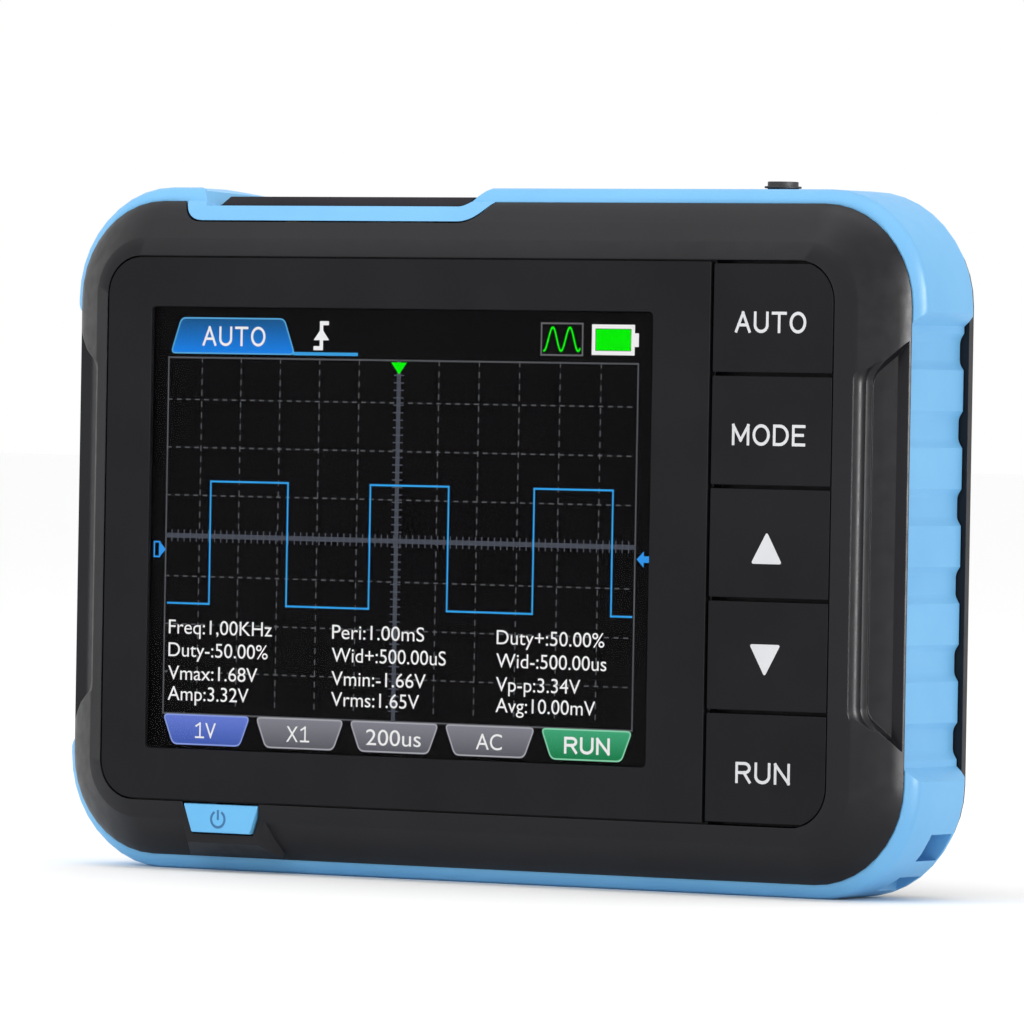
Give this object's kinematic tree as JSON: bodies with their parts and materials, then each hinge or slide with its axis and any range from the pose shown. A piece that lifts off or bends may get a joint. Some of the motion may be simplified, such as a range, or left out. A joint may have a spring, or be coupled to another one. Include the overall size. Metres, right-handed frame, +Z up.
{
  "type": "handheld oscilloscope",
  "caption": "Pocket digital oscilloscope in a rounded case with a colour screen, a column of keys, a power button, ports on top and a fold-out stand.",
  "frame": {"origin": "centre of the bounding box at its lowest height, on the surface the instrument stands on", "axes": "+X to the right seen from the front, +Y from the screen to the back, +Z up"},
  "size_m": [0.099, 0.0196, 0.0691],
  "materials": {
    "black_cover": "fine textured black moulding",
    "blue_band": "satin light blue moulding",
    "stand": "fine textured black moulding",
    "bezel": "smooth satin black panel",
    "window": "clear cover",
    "key": "satin black with white legends",
    "power_key": "satin light blue",
    "silicone": "soft grey sheet",
    "switch_body": "moulded housing",
    "switch_plunger": "moulded plunger",
    "gasket": "black foam",
    "display": "display cell, switched on",
    "metal": "stamped sheet",
    "backlight": "white moulded frame",
    "flex": "amber ribbon",
    "connector_body": "cream moulding",
    "board": "green solder mask",
    "gold": "plated metal",
    "white_insulator": "white insulator",
    "chip": "moulded package",
    "cell": "soft foil pouch",
    "foam": "foam tape",
    "lead_red": "red insulation",
    "lead_black": "black insulation",
    "screw": "black plated"
  },
  "bodies": {
    "case": {"backlight_unit": "backlight", "battery_cell": "cell", "battery_connector": "connector_body", "battery_lead_minus": "lead_black", "battery_lead_plus": "lead_red", "battery_pad": "foam", "bezel_panel": "bezel", "blue_shell": "blue_band", "charger_chip": "chip", "crystal": "metal", "display_window": "window", "flex_connector": "connector_body", "front_shell": "black_cover", "inductor": "chip", "keypad_membrane": "silicone", "lcd_flex": "flex", "lcd_gasket": "gasket", "lcd_glass": "display", "main_board": "board", "mcx_contact": "gold", "mcx_insulator": "white_insulator", "mcx_jack": "gold", "memory_chip": "chip", "port_tray": "black_cover", "processor_chip": "chip", "rear_cover": "black_cover", "rear_screw_1": "screw", "rear_screw_2": "screw", "rear_screw_3": "screw", "rear_screw_4": "screw", "sampler_chip": "chip", "shield_can": "metal", "switch_auto": "switch_body", "switch_down": "switch_body", "switch_mode": "switch_body", "switch_power": "switch_body", "switch_run": "switch_body", "switch_up": "switch_body", "test_contact": "gold", "test_socket": "chip", "usb_port": "metal", "usb_tongue": "chip"},
    "key_auto": {"key_auto": "key", "plunger_auto": "switch_plunger"},
    "key_mode": {"key_mode": "key", "plunger_mode": "switch_plunger"},
    "key_up": {"key_up": "key", "plunger_up": "switch_plunger"},
    "key_down": {"key_down": "key", "plunger_down": "switch_plunger"},
    "key_run": {"key_run": "key", "plunger_run": "switch_plunger"},
    "power_button": {"power_button": "power_key", "plunger_power": "switch_plunger"},
    "kickstand": {"kickstand": "stand"}
  },
  "joints": [
    {"name": "key_auto_press", "type": "slide", "parent": "case", "child": "key_auto", "axis": [0, 1, 0], "range_m": [0, 0.0004], "stiffness_N_per_m": 4000, "springref_m": -0.0001},
    {"name": "key_mode_press", "type": "slide", "parent": "case", "child": "key_mode", "axis": [0, 1, 0], "range_m": [0, 0.0004], "stiffness_N_per_m": 4000, "springref_m": -0.0001},
    {"name": "key_up_press", "type": "slide", "parent": "case", "child": "key_up", "axis": [0, 1, 0], "range_m": [0, 0.0004], "stiffness_N_per_m": 4000, "springref_m": -0.0001},
    {"name": "key_down_press", "type": "slide", "parent": "case", "child": "key_down", "axis": [0, 1, 0], "range_m": [0, 0.0004], "stiffness_N_per_m": 4000, "springref_m": -0.0001},
    {"name": "key_run_press", "type": "slide", "parent": "case", "child": "key_run", "axis": [0, 1, 0], "range_m": [0, 0.0004], "stiffness_N_per_m": 4000, "springref_m": -0.0001},
    {"name": "power_press", "type": "slide", "parent": "case", "child": "power_button", "axis": [0, 1, 0], "range_m": [0, 0.0004], "stiffness_N_per_m": 4000, "springref_m": -0.0001},
    {"name": "kickstand_hinge", "type": "hinge", "parent": "case", "child": "kickstand", "pos_m": [0, 0.00855, 0.04235], "axis": [1, 0, 0], "range_deg": [0, 60]}
  ]
}
